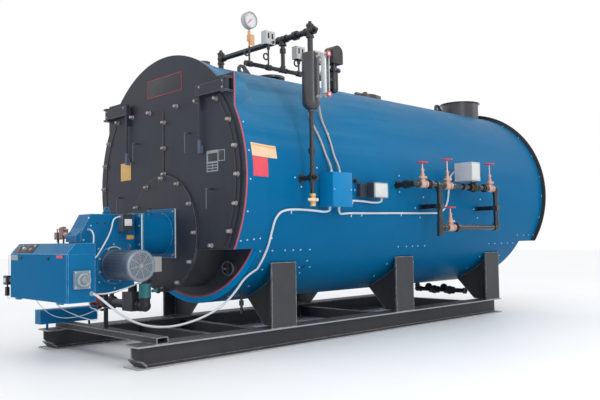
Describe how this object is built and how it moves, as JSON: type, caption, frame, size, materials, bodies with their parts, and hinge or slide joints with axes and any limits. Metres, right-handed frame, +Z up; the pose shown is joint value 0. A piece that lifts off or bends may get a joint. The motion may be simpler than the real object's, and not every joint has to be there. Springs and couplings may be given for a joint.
{
  "type": "packaged steam boiler",
  "caption": "Horizontal fire-tube steam boiler on a steel skid, with a gas burner, davit-hung smokebox doors, water column, feedwater valve train and stack collar.",
  "frame": {"origin": "on the floor under the skid, midway between the front four anchor holes, which stand on the outer face plane of the front smokebox plate", "axes": "+Y from the burner end to the stack end, +X towards the water column side, +Z up"},
  "size_m": [2.95, 6.913, 3.262],
  "materials": {
    "jacket_blue": "satin paint",
    "bright_blue": "satin paint",
    "charcoal": "satin paint",
    "black_pipe": "matt paint",
    "wheel_red": "gloss paint",
    "bronze": "dull",
    "grey": "satin paint",
    "gauge": "plain",
    "lever": "plated",
    "conduit": "dull"
  },
  "bodies": {
    "boiler": {"blast_tube": "bright_blue", "blowdown_piping": "black_pipe", "cabinet_devices": "grey", "cabinet_loop": "conduit", "column_drain_pipe": "black_pipe", "control_cabinet": "bright_blue", "damper_motor": "black_pipe", "drain_valve": "bronze", "equalizing_header": "black_pipe", "fan_housing": "bright_blue", "fan_motor": "grey", "feedwater_control_valve": "grey", "feedwater_piping": "black_pipe", "feedwater_valves": "bronze", "fuel_linkage": "black_pipe", "furnace_cover": "charcoal", "furnace_drum": "charcoal", "gas_train": "black_pipe", "gauge_glass": "gauge", "handhole_covers": "charcoal", "housing_conduit": "conduit", "jacket": "jacket_blue", "junction_box": "bright_blue", "leg_wire": "conduit", "loop_conduit": "conduit", "low_water_control": "black_pipe", "motor_conduit": "conduit", "pipe_brackets": "charcoal", "pressure_controls": "grey", "pressure_gauge": "gauge", "pressure_shell": "charcoal", "rear_access_cover": "charcoal", "rear_smokebox_plate": "charcoal", "relay_box": "grey", "saddles": "charcoal", "servo_conduit": "conduit", "side_conduits": "conduit", "skid_cross_members": "charcoal", "skid_rails": "charcoal", "smokebox_front": "charcoal", "stack_collar": "charcoal", "steam_nozzle": "charcoal", "top_fittings": "charcoal", "tube_sheets": "charcoal", "water_column": "black_pipe", "wireway": "bright_blue"},
    "door_right": {"door_right": "charcoal"},
    "door_left": {"door_left": "charcoal"},
    "davit_right": {"davit_arm_right": "charcoal"},
    "davit_left": {"davit_arm_left": "charcoal"},
    "wheel_inner": {"handwheel_inner": "wheel_red"},
    "wheel_middle": {"handwheel_middle": "wheel_red"},
    "wheel_outer": {"handwheel_outer": "wheel_red"},
    "wheel_bypass": {"handwheel_bypass": "wheel_red"},
    "drain_lever": {"drain_valve_lever": "lever"},
    "cabinet_panel": {"cabinet_panel": "bright_blue"}
  },
  "joints": [
    {"name": "davit_right_swing", "type": "hinge", "parent": "boiler", "child": "davit_right", "pos_m": [1.085, -0.045, 2.5025], "axis": [0, 0, 1], "range_deg": [0, 90]},
    {"name": "door_right_swivel", "type": "hinge", "parent": "davit_right", "child": "door_right", "pos_m": [0.67, -0.045, 2.5025], "axis": [0, 0, 1], "range_deg": [-90, 0]},
    {"name": "davit_left_swing", "type": "hinge", "parent": "boiler", "child": "davit_left", "pos_m": [-1.085, -0.045, 2.5025], "axis": [0, 0, -1], "range_deg": [0, 90]},
    {"name": "door_left_swivel", "type": "hinge", "parent": "davit_left", "child": "door_left", "pos_m": [-0.67, -0.045, 2.5025], "axis": [0, 0, -1], "range_deg": [-90, 0]},
    {"name": "wheel_inner_turn", "type": "hinge", "parent": "boiler", "child": "wheel_inner", "pos_m": [1.5, 2.37, 1.755], "axis": [0, 0, 1], "range_deg": [0, 2610]},
    {"name": "wheel_middle_turn", "type": "hinge", "parent": "boiler", "child": "wheel_middle", "pos_m": [1.5, 2.85, 1.755], "axis": [0, 0, 1], "range_deg": [-2610, 0]},
    {"name": "wheel_outer_turn", "type": "hinge", "parent": "boiler", "child": "wheel_outer", "pos_m": [1.5, 3.77, 1.755], "axis": [0, 0, 1], "range_deg": [-2610, 0]},
    {"name": "wheel_bypass_turn", "type": "hinge", "parent": "boiler", "child": "wheel_bypass", "pos_m": [1.5, 2.89, 1.272], "axis": [0, 0, 1], "range_deg": [0, 2610]},
    {"name": "drain_lever_turn", "type": "hinge", "parent": "boiler", "child": "drain_lever", "pos_m": [1.45, 0.74, 1.44], "axis": [1, 0, 0], "range_deg": [0, 90]},
    {"name": "cabinet_panel_drop", "type": "hinge", "parent": "boiler", "child": "cabinet_panel", "pos_m": [-0.191, -1.249, 0.539], "axis": [1, 0, 0], "range_deg": [0, 90]}
  ],
  "couplings": [
    {"joint": "door_right_swivel", "follows": "davit_right_swing", "ratio": -1},
    {"joint": "door_left_swivel", "follows": "davit_left_swing", "ratio": -1}
  ]
}
